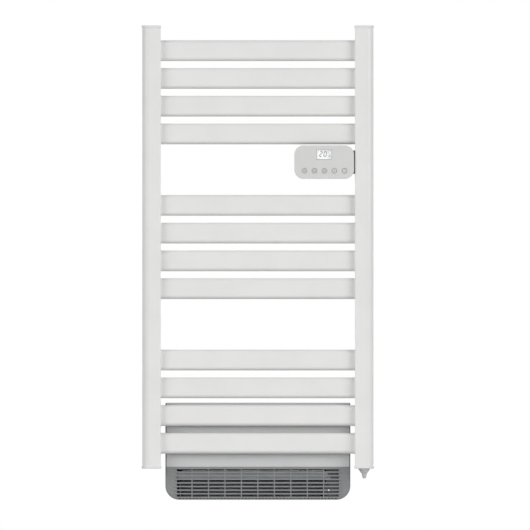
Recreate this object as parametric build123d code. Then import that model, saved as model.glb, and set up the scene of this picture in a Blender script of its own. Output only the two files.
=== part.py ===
from build123d import *
import math
import os

# Fan towel warmer for a bathroom wall, in millimetres.
# X is to the right seen from the front, Y points into the wall and Z is up.
# The wall is the plane y = 0, and the origin is the middle of the four wall fixings.

# Rail: two upright posts, twelve bars in three groups, four end caps
outer_width = 500.0
frame_height = 958.0
wall_distance = 90.0
post_width = 40.0
post_depth = 30.0
post_wall = 1.5
post_edge = 1.0
cap_plate = 5.5
cap_overhang = 1.2
cap_round = 1.6
cap_lower_round = 1.1
plug_height = 8.0
plug_wall = 2.0
plug_fit = 0.2
bar_height = 45.0
bar_depth = 15.0
bar_wall = 1.2
bar_set_in = 2.5
bar_gap = 15.0
bars_in_group = 4
bar_groups = 3
lowest_bar = 32.2
highest_bar = 32.0

# Heating cable inside the bars, and the passages that it goes through
heating_radius = 2.0
heating_bend = 8.0
heating_inset = 10.0
cable_rest = 0.2
passage_slack = 2.0
cable_tail = 10.0

# Wall fixings behind the posts
fixing_from_top = 119.0
fixing_from_bottom = 219.0
fixing_inset = 12.5
foot_radius = 12.0
foot_length = 24.0
foot_base = 4.0
wall_screw_radius = 2.75
stem_radius = 8.0
stem_fit = 0.15
stem_wall = 3.0
stem_end = 5.0
stem_wall_gap = 8.0
flange_radius = 11.0
flange_thickness = 3.0
stem_screw_radius = 2.0
stem_screw_length = 10.0
stem_head_radius = 3.8
stem_head_height = 3.0
grub_radius = 1.9
grub_from_wall = 16.0
grub_socket = 1.8
grub_socket_depth = 1.5
screw_slack = 0.3
tip_gap = 0.1

# Cross recess and rounded rim of every screw head
driver_width = 0.8
driver_share = 0.6
driver_depth = 1.0
head_round = 0.5

# Cable gland under the right post
gland_flange_radius = 12.6
gland_flange = 2.0
gland_thread_radius = 6.0
gland_thread_above = 5.5
gland_bore_radius = 3.6
gland_spigot_radius = 6.5
gland_spigot = 5.0
gland_fit = 0.15
locknut_flats = 17.0
locknut_height = 4.0
dome_top_radius = 11.6
dome_end_radius = 6.6
dome_height = 8.2
dome_grips = 12
grip_radius = 1.1
seal_collar = 1.4
seal_collar_radius = 6.3
seal_neck_radius = 5.6
seal_tip_radius = 3.6
seal_bore_radius = 2.9
seal_length = 14.0

# Control box beside the right post
face_width = 128.8
face_height = 72.5
face_corner = 20.0
face_thickness = 3.5
face_edge = 1.0
face_proud = 4.5
control_side_gap = 2.3
control_drop = 2.2
housing_inset = 2.0
housing_depth = 28.0
housing_wall = 2.0
housing_edge = 3.0
lens_width = 33.3
lens_height = 21.5
lens_thickness = 1.5
lens_ledge = 1.0
lens_fit = 0.1
lens_rise = 16.3
display_width = 36.0
display_height = 24.0
display_gap = 0.4
board_width = 98.0
board_height = 58.0
board_thickness = 1.6
board_set_back = 12.0
board_post_radius = 2.5
board_post_x = 40.0
board_post_z = 20.0
cover_screw_x = 52.5
cover_screw_z = 26.0
cover_boss_radius = 2.5
cover_screw_radius = 1.2
cover_head_radius = 2.7
cover_head_height = 1.6
cover_screw_length = 12.0

# Five keys in the face and their switches on the board
key_names = ("key_power", "key_mode", "key_timer", "key_plus", "key_minus")
key_pitch = 21.6
key_row_shift = 0.6
key_row_drop = 18.8
key_radius = 5.7
key_clearance = 0.35
key_proud = 0.4
key_edge = 0.3
key_lip = 1.3
key_lip_thickness = 1.2
key_stem_radius = 1.7
key_travel = 0.6
switch_size = 6.0
switch_height = 4.0
switch_recess = 2.0
switch_clearance = 0.35
key_engagement = 1.0

# Parts on the back of the board
terminal_width = 15.0
terminal_depth = 11.0
terminal_height = 24.0
terminal_overhang = 6.0
relay_size = (20.0, 12.0, 16.0)
relay_place = (-22.0, 4.0)
capacitor_radius = 5.0
capacitor_height = 11.0
capacitor_place = (8.0, -6.0)

# Neck between the control box and the right post
neck_height = 51.0
neck_depth = 22.0
neck_edge = 3.0
neck_shoulder = 2.0
neck_slot_height = 20.0
neck_slot_depth = 8.0
neck_cable_pitch = 6.0
neck_screw_rise = 13.3
neck_screw_radius = 1.6
neck_screw_length = 12.0
neck_head_radius = 2.5
neck_head_height = 2.4

# Fan unit behind the two lowest bars
fan_side_gap = 10.0
fan_height = 209.3
fan_rise = 4.6
fan_wall_gap = 6.0
case_wall = 2.2
case_corner = 30.0
case_top_corner = 2.5
case_edge = 3.0
back_field_margin = 18.0
back_field_depth = 0.6
panel_height = 138.3
panel_fit = 0.15
panel_edge = 0.8
nose_depth = 26.0
nose_edge = 4.0
nose_rib = 6.0

# Outlet grille in the nose
slot_margin = 25.0
slot_height = 4.9
slot_pitch = 7.8
slot_rows = 8
slot_first = 7.3
rib_width = 2.4
rib_pitch = 35.6
rib_count = 9
slot_run_out = 10.0
fin_pitch = 7.5
fin_slot = 4.0
fin_depth = 18.0

# Spacers and screws that hang the fan unit on the two lowest bars
hanger_inset = 12.0
spacer_length = 4.5
spacer_radius = 6.0
bar_screw_radius = 2.0
bar_screw_reach = 4.5
bar_head_radius = 4.0
bar_head_height = 2.6
lug_width = 20.0
lug_height = 20.0
lug_thickness = 4.0

# Bosses that join the nose to the case
nose_boss_inset = 11.0
nose_boss_height = 31.5
nose_boss_radius = 4.0
case_boss_radius = 5.5
case_boss_web = 4.0
nose_screw_radius = 1.5
nose_screw_reach = 10.0
nose_head_radius = 3.0
nose_head_height = 2.0
recess_slack = 0.6

# Dust filter tray under the intake slots
tray_top_gap = 0.5
tray_thickness = 5.0
tray_side_gap = 4.0
tray_border = 5.0
tray_mesh = 1.0
tray_columns = 28
tray_rows = 6
tray_web = 1.6
tray_end_block = 6.0
tray_slot_fit = 0.4
tray_travel = 250.0
nail_slot_length = 24.0
nail_slot_height = 1.6
nail_slot_depth = 1.4
shelf_thickness = 1.6
shelf_border = 10.0
intake_slot = 3.5
intake_pitch = 7.5
intake_count = 41
intake_margin = 8.0

# Cross-flow blower
sheet = 1.0
motor_space = 49.3
scroll_radius = 44.0
scroll_rise = 108.0
scroll_corner = 12.0
rotor_from_back = 31.8
rotor_rise = 70.5
impeller_radius = 24.0
impeller_bore = 18.6
impeller_end_gap = 4.0
impeller_blades = 24
impeller_disc = 1.6
impeller_cells = 6
blade_thickness = 0.9
blade_bow = 1.0
blade_sweep = 12.0
hub_radius = 7.0
hub_length = 8.0
shaft_radius = 3.0
shaft_press = 0.02
shaft_running = 0.05
shaft_overhang = 4.0
bush_radius = 6.5
bush_length = 8.0
bush_flange_radius = 9.0
bush_flange = 1.5
bush_fit = 0.05
outlet_set_back = 10.0
left_plate_set_back = 20.0
lip_top_drop = 10.3
lip_height = 16.0
tongue_gap = 3.0
tongue_bend_angle = 226.0
tongue_end_angle = 205.0
tongue_tab = 12.0
lip_tab = 8.0
outlet_flange_width = 30.0
outlet_flange_drop = 2.0
outlet_flange_height = 63.3
outlet_screw_x = 5.0
outlet_screw_web = 6
outlet_screw_radius = 1.0
outlet_head_radius = 2.2
outlet_head_height = 1.4

# Shaded-pole motor at the right end of the blower
stator_length = 18.0
stator_half_depth = 24.0
stator_below = 22.0
stator_above = 58.0
stator_limb = 14.0
stator_window_depth = 24.0
stator_window_height = 24.0
motor_rotor_radius = 11.0
motor_rotor_length = 20.0
motor_air_gap = 0.5
motor_boss_length = 10.5
motor_boss_radius = 4.5
motor_boss_y = 18.0
motor_boss_drop = 14.0
motor_screw_radius = 1.6
motor_screw_reach = 7.0
motor_head_radius = 3.2
motor_head_height = 2.4
coil_thickness = 6.3
coil_overhang = 7.0
coil_side_gap = 1.5
coil_fit = 0.2
coil_edge = 4.0

# Heating element and thermal cut-out in the outlet
element_depth = 9.5
element_height = 36.0
element_set_back = 16.0
element_end_fit = 0.2
element_border = 2.0
element_fin = 0.6
element_fin_pitch = 2.2
cutout_radius = 6.0
cutout_depth = 6.0
cutout_x = -60.0
cutout_drop = 5.5

# Lead from the control box to the motor, through the right post
fan_lead_radius = 2.5
fan_lead_bend = 12.0
fan_lead_inset = 21.0
fan_lead_slack = 1.0

# Places worked out from the sizes
post_inner = outer_width / 2 - post_width
post_back = -wall_distance
post_mid = post_back - post_depth / 2
post_front = post_back - post_depth
fixing_rise = frame_height - fixing_from_top - fixing_from_bottom
rail_bottom = -(fixing_from_bottom + fixing_rise / 2)
rail_top = rail_bottom + frame_height
rail_mid = (rail_bottom + rail_top) / 2
fixing_x = post_inner + fixing_inset
bar_count = bars_in_group * bar_groups
bar_pitch = bar_height + bar_gap
group_height = bars_in_group * bar_pitch - bar_gap
barred_height = frame_height - lowest_bar - highest_bar
group_gap = (barred_height - bar_groups * group_height) / (bar_groups - 1)
group_pitch = group_height + group_gap
bar_back = post_back - bar_set_in
bar_mid = bar_back - bar_depth / 2
passage_radius = heating_radius + passage_slack

face_front = post_front - face_proud
face_back = face_front + face_thickness
housing_back = face_back + housing_depth
housing_inner_back = housing_back - housing_wall
housing_width = face_width - 2 * housing_inset
housing_height = face_height - 2 * housing_inset
housing_corner = face_corner - housing_inset
control_x = post_inner - control_side_gap - face_width / 2
housing_right = control_x + housing_width / 2
board_front = face_back + board_set_back
board_back = board_front + board_thickness
key_row_x = control_x + key_row_shift
key_hole_radius = key_radius + key_clearance
switch_recess_radius = key_stem_radius + switch_clearance
terminal_right = control_x + board_width / 2 + terminal_overhang
terminal_back = board_back + terminal_depth

fan_half = post_inner - fan_side_gap
fan_back = -fan_wall_gap
case_inner_back = fan_back - case_wall
panel_front = bar_back + spacer_length
panel_back = panel_front + case_wall
nose_back = panel_front + nose_depth
hanger_x = fan_half - hanger_inset
nose_boss_x = fan_half - nose_boss_inset

blower_left = -(fan_half - case_corner) + sheet
blower_right = fan_half - case_wall - motor_space - sheet
rotor_y = case_inner_back - rotor_from_back
outlet_front = panel_front + outlet_set_back
lip_front = outlet_front - sheet
hub_bore = shaft_radius + shaft_press
bush_bore = shaft_radius + shaft_running
stator_left = blower_right + sheet + motor_boss_length
stator_right = stator_left + stator_length


def bar_bottom(number):
    """Height of a bar's lower edge, with bar 1 at the top."""
    from_below = bar_count - number
    group = from_below // bars_in_group
    row = from_below % bars_in_group
    return rail_bottom + lowest_bar + group * group_pitch + row * bar_pitch


def bar_middle(number):
    return bar_bottom(number) + bar_height / 2


# Heights worked out from the bars
first_group_end = bars_in_group
control_z = bar_bottom(first_group_end) - control_drop - face_height / 2
key_row_z = control_z - key_row_drop
lens_z = control_z + lens_rise
hanger_bars = (bar_count - 1, bar_count)
fan_top = bar_bottom(bar_count - 1) + bar_height + fan_rise
fan_bottom = fan_top - fan_height
fan_floor = fan_bottom + case_wall
fan_ceiling = fan_top - case_wall
panel_bottom = fan_top - panel_height
rotor_z = fan_floor + rotor_rise
scroll_top = fan_floor + scroll_rise
lip_top = panel_bottom - lip_top_drop
lip_bottom = lip_top - lip_height
tray_top = fan_ceiling - tray_top_gap
tray_bottom = tray_top - tray_thickness
shelf_bottom = tray_bottom - shelf_thickness
nose_boss_z = fan_bottom + nose_boss_height + motor_head_height


# Ways that a screw's head can face
forward = (0, -1, 0)
backward = (0, 1, 0)
leftward = (-1, 0, 0)
rightward = (1, 0, 0)


def box(x, y, z):
    """Block between two coordinates on each axis."""
    middle = Pos((x[0] + x[1]) / 2, (y[0] + y[1]) / 2, (z[0] + z[1]) / 2)
    return middle * Box(x[1] - x[0], y[1] - y[0], z[1] - z[0])


def along_x(sketch, x, y=0.0, z=0.0):
    """Prism along X from a sketch drawn in Y and Z."""
    start = Plane(origin=(x[0], y, z), x_dir=(0, 1, 0), z_dir=(1, 0, 0))
    return extrude(start * sketch, amount=x[1] - x[0])


def along_y(sketch, y, x=0.0, z=0.0):
    """Prism along Y from a sketch drawn in X and Z, seen from the front."""
    start = Plane(origin=(x, y[1], z), x_dir=(1, 0, 0), z_dir=(0, -1, 0))
    return extrude(start * sketch, amount=y[1] - y[0])


def along_z(sketch, z, x=0.0, y=0.0):
    """Prism along Z from a sketch drawn in X and Y."""
    return extrude(Plane(origin=(x, y, z[0])) * sketch, amount=z[1] - z[0])


def rectangle(u, v):
    """Rectangle between two coordinates on each axis of a sketch."""
    return Pos((u[0] + u[1]) / 2, (v[0] + v[1]) / 2) * Rectangle(u[1] - u[0], v[1] - v[0])


def group(pieces):
    """Separate solids that share one node."""
    solids = []
    for piece in pieces:
        solids.extend(piece.solids())
    return Compound(solids)


def to_left(piece):
    return mirror(piece, about=Plane.YZ)


def screw(seat, way, head_radius, head_height, shank_radius, reach):
    """Screw whose head stands on its seat, facing a given way, with a cross recess."""
    on_seat = (Align.CENTER, Align.CENTER, Align.MIN)
    under_seat = (Align.CENTER, Align.CENTER, Align.MAX)
    head = Cylinder(head_radius, head_height, align=on_seat)
    head = fillet(head.edges().group_by(Axis.Z)[-1], head_round)
    arm = 2 * head_radius * driver_share
    cross = Rectangle(arm, driver_width) + Rectangle(driver_width, arm)
    head -= along_z(cross, (head_height - driver_depth, head_height))
    return Plane(origin=seat, z_dir=way) * (head + Cylinder(shank_radius, reach, align=under_seat))


def tube_along(points, radius, bend):
    """Round lead along straight runs joined by arcs."""
    path = FilletPolyline(*points, radius=bend)
    return sweep(Plane(origin=path @ 0, z_dir=path % 0) * Circle(radius), path=path)


# Rail

def post_section(grow=0.0, edge=0.0):
    """D-shaped section of the right post: flat inner side, half-round outer side."""
    flat = post_width - post_depth / 2
    square = rectangle(
        (post_inner - grow, post_inner + flat),
        (post_mid - post_depth / 2 - grow, post_mid + post_depth / 2 + grow),
    )
    section = square + Pos(post_inner + flat, post_mid) * Circle(post_depth / 2 + grow)
    if edge > 0:
        section = fillet(section.vertices().sort_by(Axis.X)[:2], edge)
    return section


def plain_post():
    """Right post with its cable passages and the holes for the stems' screws."""
    span = (rail_bottom + cap_plate, rail_top - cap_plate)
    tube = along_z(post_section(edge=post_edge), span) - along_z(post_section(-post_wall), span)
    inner_wall = (post_inner - post_wall, post_inner + 2 * post_wall)
    back_wall = (post_back - 2 * post_wall, post_back + post_wall)
    cuts = []
    for number in range(1, bar_count + 1):
        height = bar_bottom(number) + bar_wall + passage_radius
        cuts.append(along_x(Circle(passage_radius), inner_wall, bar_mid, height))
    for height in (-fixing_rise / 2, fixing_rise / 2):
        hole = Circle(stem_screw_radius + screw_slack)
        cuts.append(along_y(hole, back_wall, fixing_x, height))
    return tube - cuts


def right_post():
    """Right post, also opened for the neck's cables and screws and for the fan lead."""
    inner_wall = (post_inner - post_wall, post_inner + 2 * post_wall)
    back_wall = (post_back - 2 * post_wall, post_back + post_wall)
    cuts = [along_x(neck_slot(), inner_wall, bar_mid, control_z)]
    for rise in (-neck_screw_rise, neck_screw_rise):
        hole = Circle(neck_screw_radius + screw_slack)
        cuts.append(along_x(hole, inner_wall, post_mid, control_z + rise))
    lead_hole = Circle(fan_lead_radius + fan_lead_slack)
    cuts.append(along_y(lead_hole, back_wall, post_inner + fan_lead_inset, bar_middle(bar_count)))
    return plain_post() - cuts


def bar(number):
    """Flat-oval tube between the posts, welded end to end on their flat sides."""
    span = (-post_inner, post_inner)
    outer = SlotOverall(bar_height, bar_depth, rotation=90)
    bore = SlotOverall(bar_height - 2 * bar_wall, bar_depth - 2 * bar_wall, rotation=90)
    tube = along_x(outer - bore, span, bar_mid, bar_middle(number))
    if number in hanger_bars:
        hole = Circle(bar_screw_radius + screw_slack)
        back_wall = (bar_back - 2 * bar_wall, bar_back + bar_wall)
        for x in (-hanger_x, hanger_x):
            tube -= along_y(hole, back_wall, x, bar_middle(number))
    return tube


def top_cap():
    """Right top cap: overhanging plate with a plug that fits in the post."""
    plate = along_z(
        post_section(cap_overhang, post_edge + cap_overhang), (rail_top - cap_plate, rail_top)
    )
    plate = fillet(plate.edges().group_by(Axis.Z)[-1], cap_round)
    plate = fillet(plate.edges().group_by(Axis.Z)[0], cap_lower_round)
    plug_outside = -post_wall - plug_fit
    ring = post_section(plug_outside) - post_section(plug_outside - plug_wall)
    return plate + along_z(ring, (rail_top - cap_plate - plug_height, rail_top - cap_plate))


def bottom_cap():
    return mirror(top_cap(), about=Plane.XY.offset(rail_mid))


def bottom_cap_right():
    """Right bottom cap, bored for the gland's thread."""
    hole = Circle(gland_thread_radius + gland_fit)
    through = (rail_bottom - cap_plate, rail_bottom + 2 * cap_plate)
    return bottom_cap() - along_z(hole, through, gland_x, post_mid)


# Cable gland

gland_x = post_inner + post_width / 2
gland_shoulder = rail_bottom - gland_flange
spigot_end = gland_shoulder - gland_spigot
seal_shoulder = spigot_end - seal_collar
dome_end = gland_shoulder - dome_height
thread_top = rail_bottom + cap_plate + gland_thread_above
gland_axis = Axis((gland_x, post_mid, 0), (0, 0, 1))


def turned(points):
    """Solid of revolution about the gland's upright axis, from radius and height pairs."""
    outline = Polyline(*points, close=True)
    profile = Plane(origin=(gland_x, post_mid, 0), x_dir=(1, 0, 0), z_dir=(0, -1, 0))
    return revolve(profile * make_face(outline), axis=gland_axis, revolution_arc=360)


def gland_body():
    return turned((
        (gland_bore_radius, thread_top),
        (gland_thread_radius, thread_top),
        (gland_thread_radius, rail_bottom),
        (gland_flange_radius, rail_bottom),
        (gland_flange_radius, gland_shoulder),
        (gland_spigot_radius, gland_shoulder),
        (gland_spigot_radius, spigot_end),
        (gland_bore_radius, spigot_end),
    ))


def gland_locknut():
    hexagon = RegularPolygon(locknut_flats / 2, 6, major_radius=False)
    nut = hexagon - Circle(gland_thread_radius + gland_fit)
    seat = rail_bottom + cap_plate
    return along_z(nut, (seat, seat + locknut_height), gland_x, post_mid)


def gland_dome_nut():
    """Tapered nut with grip flutes round its wide end."""
    bore = gland_spigot_radius + gland_fit
    mouth = seal_neck_radius + gland_fit
    cone = turned((
        (bore, gland_shoulder),
        (dome_top_radius, gland_shoulder),
        (dome_end_radius, dome_end),
        (mouth, dome_end),
        (mouth, seal_shoulder),
        (bore, seal_shoulder),
    ))
    flutes = PolarLocations(dome_top_radius + grip_radius / 2, dome_grips) * Circle(grip_radius)
    cutter = along_z(Sketch() + flutes, (dome_end, gland_shoulder), gland_x, post_mid)
    return cone - cutter


def gland_seal():
    """Rubber seal whose tapered nose shows under the nut."""
    return turned((
        (seal_bore_radius, spigot_end),
        (seal_collar_radius, spigot_end),
        (seal_collar_radius, seal_shoulder),
        (seal_neck_radius, seal_shoulder),
        (seal_neck_radius, dome_end),
        (seal_tip_radius, spigot_end - seal_length),
        (seal_bore_radius, spigot_end - seal_length),
    ))


# Heating cables

def cable_height(number):
    """Middle of the cable where it lies in a bar."""
    return bar_bottom(number) + bar_wall + cable_rest + heating_radius


def cable_route(start_height, numbers):
    """From the terminal block into the post, then to and fro through the bars."""
    turn = post_inner + heating_inset
    points = [(terminal_right, bar_mid, start_height), (turn, bar_mid, start_height)]
    side = 1
    for number in numbers:
        height = cable_height(number)
        points.append((side * turn, bar_mid, height))
        points.append((-side * turn, bar_mid, height))
        side = -side
    points[-1] = (side * (post_inner - cable_tail), bar_mid, height)
    return points


def heating_cables():
    """One cable warms the upper group of bars and the other the two lower groups."""
    upper = cable_route(control_z + neck_cable_pitch, range(first_group_end, 0, -1))
    lower = cable_route(control_z - neck_cable_pitch, range(first_group_end + 1, bar_count + 1))
    return group(tube_along(points, heating_radius, heating_bend) for points in (upper, lower))


# Wall fixings

def fixing_places():
    """Middle of each wall fixing, in X and Z."""
    return [(x, z) for z in (fixing_rise / 2, -fixing_rise / 2) for x in (-fixing_x, fixing_x)]


def wall_foot(x, z):
    """Cup that is screwed to the wall through its base and holds the stem."""
    foot = along_y(Circle(foot_radius), (-foot_length, 0), x, z)
    foot -= along_y(Circle(stem_radius + stem_fit), (-foot_length, -foot_base), x, z)
    foot -= along_y(Circle(wall_screw_radius), (-foot_base, 0), x, z)
    foot -= along_z(Circle(grub_radius + tip_gap), (z - foot_radius, z), x, -grub_from_wall)
    return foot


def wall_stem(x, z):
    """Hollow stem with a flange against the back of the post."""
    stem = along_y(Circle(stem_radius), (post_back, -stem_wall_gap), x, z)
    stem += along_y(Circle(flange_radius), (post_back, post_back + flange_thickness), x, z)
    stem -= along_y(Circle(stem_radius - stem_wall), (post_back + stem_end, -stem_wall_gap), x, z)
    hole = Circle(stem_screw_radius + screw_slack)
    stem -= along_y(hole, (post_back, post_back + stem_end), x, z)
    return stem


def bracket_screw(x, z):
    """Screw from inside the stem into the post."""
    seat = (x, post_back + stem_end, z)
    head = (stem_head_radius, stem_head_height)
    return screw(seat, backward, *head, stem_screw_radius, stem_screw_length)


def grub_screw(x, z):
    """Set screw up through the foot, which stops on the stem."""
    span = (z - foot_radius + tip_gap, z - stem_radius - tip_gap)
    body = along_z(Circle(grub_radius), span, x, -grub_from_wall)
    socket = RegularPolygon(grub_socket / 2, 6, major_radius=False)
    return body - along_z(socket, (span[0], span[0] + grub_socket_depth), x, -grub_from_wall)


def bracket_screws():
    pieces = [bracket_screw(x, z) for x, z in fixing_places()]
    pieces += [grub_screw(x, z) for x, z in fixing_places()]
    return group(pieces)


# Control box

def rounded_plate(width, height, corner):
    return RectangleRounded(width, height, corner)


def cover_screw_places():
    """The four cover screws, in X and Z."""
    return [
        (control_x + x, control_z + z)
        for x in (-cover_screw_x, cover_screw_x)
        for z in (-cover_screw_z, cover_screw_z)
    ]


def key_places():
    """Middle of each key, from left to right, in X."""
    first = key_row_x - key_pitch * (len(key_names) - 1) / 2
    return [first + key_pitch * number for number in range(len(key_names))]


def control_face():
    """Front plate with the lens pocket, five key holes and four screw bosses."""
    outline = rounded_plate(face_width, face_height, face_corner)
    plate = along_y(outline, (face_front, face_back), control_x, control_z)
    plate = fillet(plate.edges().group_by(Axis.Y)[0], face_edge)
    pocket = Rectangle(lens_width, lens_height)
    opening = Rectangle(lens_width - 2 * lens_ledge, lens_height - 2 * lens_ledge)
    plate -= along_y(pocket, (face_front, face_front + lens_thickness), control_x, lens_z)
    plate -= along_y(opening, (face_front, face_back), control_x, lens_z)
    for x in key_places():
        plate -= along_y(Circle(key_hole_radius), (face_front, face_back), x, key_row_z)
    for x, z in cover_screw_places():
        boss = Circle(cover_boss_radius) - Circle(cover_screw_radius + tip_gap)
        plate += along_y(boss, (face_back, housing_inner_back), x, z)
    return plate


def control_housing():
    """Rear shell of the control box."""
    outline = rounded_plate(housing_width, housing_height, housing_corner)
    shell = along_y(outline, (face_back, housing_back), control_x, control_z)
    shell = fillet(shell.edges().group_by(Axis.Y)[-1], housing_edge)
    hollow = rounded_plate(
        housing_width - 2 * housing_wall,
        housing_height - 2 * housing_wall,
        housing_corner - housing_wall,
    )
    shell -= along_y(hollow, (face_back, housing_inner_back), control_x, control_z)
    for x in (-board_post_x, board_post_x):
        for z in (-board_post_z, board_post_z):
            post = Circle(board_post_radius)
            shell += along_y(post, (board_back, housing_inner_back), control_x + x, control_z + z)
    for x, z in cover_screw_places():
        hole = Circle(cover_screw_radius + screw_slack)
        shell -= along_y(hole, (housing_inner_back, housing_back), x, z)
    side_wall = (housing_right - 2 * housing_wall, housing_right + housing_wall)
    shell -= along_x(neck_slot(), side_wall, bar_mid, control_z)
    for rise in (-neck_screw_rise, neck_screw_rise):
        hole = Circle(neck_screw_radius + screw_slack)
        shell -= along_x(hole, side_wall, post_mid, control_z + rise)
    return shell


def display_window():
    """Clear lens, let in flush with the face."""
    pane = Rectangle(lens_width - 2 * lens_fit, lens_height - 2 * lens_fit)
    return along_y(pane, (face_front, face_front + lens_thickness), control_x, lens_z)


def display_module():
    """Display with its light box, standing on the board."""
    block = Rectangle(display_width, display_height)
    room = board_height / 2 - lens_rise
    drop = max(display_height / 2 - room, 0)
    span = (face_back + display_gap, board_front)
    return along_y(block, span, control_x, lens_z - drop)


def control_board():
    board = Rectangle(board_width, board_height)
    return along_y(board, (board_front, board_back), control_x, control_z)


def key_switches():
    """Five switch bodies on the board, each with a recess for a key's stem."""
    top = board_front - switch_height
    pieces = []
    for x in key_places():
        body = along_y(Rectangle(switch_size, switch_size), (top, board_front), x, key_row_z)
        recess = Circle(switch_recess_radius)
        pieces.append(body - along_y(recess, (top, top + switch_recess), x, key_row_z))
    return group(pieces)


def key(x):
    """Round key, held behind the face by its lip, with a stem that reaches into the switch."""
    cap = along_y(Circle(key_radius), (face_front - key_proud, face_back), x, key_row_z)
    cap = fillet(cap.edges().group_by(Axis.Y)[0], key_edge)
    lip = along_y(
        Circle(key_hole_radius + key_lip), (face_back, face_back + key_lip_thickness), x, key_row_z
    )
    stem_tip = board_front - switch_height + key_engagement
    stem = along_y(Circle(key_stem_radius), (face_back, stem_tip), x, key_row_z)
    return cap + lip + stem


def board_components():
    """Terminal block, relay and capacitor on the back of the board."""
    terminal = box(
        (terminal_right - terminal_width, terminal_right),
        (board_back, terminal_back),
        (control_z - terminal_height / 2, control_z + terminal_height / 2),
    )
    relay_x = control_x + relay_place[0]
    relay_z = control_z + relay_place[1]
    relay_outline = Rectangle(relay_size[0], relay_size[2])
    relay = along_y(relay_outline, (board_back, board_back + relay_size[1]), relay_x, relay_z)
    capacitor = along_y(
        Circle(capacitor_radius),
        (board_back, board_back + capacitor_height),
        control_x + capacitor_place[0],
        control_z + capacitor_place[1],
    )
    return group((terminal, relay, capacitor))


def neck_slot():
    """Opening for the three cables, drawn in Y and Z."""
    return SlotOverall(neck_slot_height, neck_slot_depth, rotation=90)


def control_neck():
    """Spacer between the housing and the post, which the cables pass through."""
    block = RectangleRounded(neck_depth, neck_height, neck_edge)
    span = (housing_right, post_inner)
    neck = along_x(block, span, post_mid, control_z)
    seen = rectangle(span, (-neck_height / 2, neck_height / 2))
    seen = fillet(seen.vertices().sort_by(Axis.X)[:2], neck_shoulder)
    neck &= along_y(seen, (post_front, post_back), 0, control_z)
    neck -= along_x(neck_slot(), span, bar_mid, control_z)
    for rise in (-neck_screw_rise, neck_screw_rise):
        hole = Circle(neck_screw_radius + screw_slack)
        neck -= along_x(hole, span, post_mid, control_z + rise)
    return neck


def control_screws():
    """Four cover screws from the back, and two screws through the neck into the post."""
    pieces = []
    head = (cover_head_radius, cover_head_height)
    for x, z in cover_screw_places():
        seat = (x, housing_back, z)
        pieces.append(screw(seat, backward, *head, cover_screw_radius, cover_screw_length))
    head = (neck_head_radius, neck_head_height)
    for rise in (-neck_screw_rise, neck_screw_rise):
        seat = (housing_right - housing_wall, post_mid, control_z + rise)
        pieces.append(screw(seat, leftward, *head, neck_screw_radius, neck_screw_length))
    return group(pieces)


# Fan unit

def case_outline(inset=0.0):
    """Front view of the fan unit, in X and Z: large lower corners, small upper ones."""
    side = fan_half - inset
    outline = rectangle((-side, side), (fan_bottom + inset, fan_top - inset))
    by_height = outline.vertices().sort_by(Axis.Y)
    outline = fillet(by_height[:2], case_corner - inset)
    if case_top_corner > inset:
        outline = fillet(outline.vertices().sort_by(Axis.Y)[-2:], case_top_corner - inset)
    return outline


def above_panel_edge():
    return rectangle((-fan_half, fan_half), (panel_bottom, fan_top))


def below_panel_edge():
    return rectangle((-fan_half, fan_half), (fan_bottom, panel_bottom))


def hanger_places():
    """The four screws that hang the unit on the bars, in X and Z."""
    return [(x, bar_middle(number)) for number in hanger_bars for x in (-hanger_x, hanger_x)]


def case_shell():
    """Moulded tray of the case, open to the front."""
    shell = along_y(case_outline(), (nose_back, fan_back))
    shell += along_y(case_outline() & above_panel_edge(), (panel_back, nose_back))
    shell = fillet(shell.edges().group_by(Axis.Y)[-1], case_edge)
    shell -= along_y(case_outline(case_wall), (panel_front, case_inner_back))
    shell -= along_y(case_outline(back_field_margin), (fan_back - back_field_depth, fan_back))
    between = rectangle((case_wall - fan_half, fan_half - case_wall), (fan_bottom, fan_top))
    cheeks = (case_outline() & above_panel_edge()) - between
    return shell + along_y(cheeks, (panel_front, panel_back))


def filter_shelf():
    """Shelf that the filter tray slides on, open in the middle for the air."""
    inner = fan_half - case_wall
    window = (blower_left - sheet, blower_right + sheet)
    depth = (panel_back + shelf_border, case_inner_back - shelf_border)
    plate = box((-inner, inner), (panel_back, case_inner_back), (shelf_bottom, tray_bottom))
    return plate - box(window, depth, (shelf_bottom, tray_bottom))


def case_boss(side):
    """Deep boss for a screw that reaches the nose from behind."""
    return along_y(
        Circle(case_boss_radius), (nose_back, case_inner_back), side * nose_boss_x, nose_boss_z
    )


def fan_case():
    case = case_shell() + filter_shelf()
    inner = fan_half - case_wall
    for x, z in hanger_places():
        side = math.copysign(1, x)
        across = sorted((side * (inner - lug_width), side * inner))
        case += box(
            across,
            (panel_back, panel_back + lug_thickness),
            (z - lug_height / 2, z + lug_height / 2),
        )
    for side in (-1, 1):
        case += case_boss(side)
    cuts = []
    for x, z in hanger_places():
        hole = Circle(bar_screw_radius + screw_slack)
        cuts.append(along_y(hole, (panel_back, panel_back + lug_thickness), x, z))
    for side in (-1, 1):
        x = side * nose_boss_x
        recess = Circle(nose_head_radius + recess_slack)
        cuts.append(along_y(recess, (nose_back + case_boss_web, fan_back), x, nose_boss_z))
        hole = Circle(nose_screw_radius + screw_slack)
        cuts.append(along_y(hole, (nose_back, nose_back + case_boss_web), x, nose_boss_z))
    first_slot = (blower_left + blower_right) / 2 - intake_pitch * (intake_count - 1) / 2
    slot_depth = (panel_back + intake_margin, case_inner_back - intake_margin)
    for number in range(intake_count):
        x = first_slot + number * intake_pitch
        across = (x - intake_slot / 2, x + intake_slot / 2)
        cuts.append(box(across, slot_depth, (fan_ceiling, fan_top)))
    cuts.append(box(
        (-fan_half, -inner),
        (tray_front - tray_slot_fit, tray_back + tray_slot_fit),
        (tray_bottom, tray_top + tray_slot_fit),
    ))
    lead_hole = Circle(fan_lead_radius + fan_lead_slack)
    cuts.append(along_x(lead_hole, (inner, fan_half), rotor_y, bar_middle(bar_count)))
    return case - cuts


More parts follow.
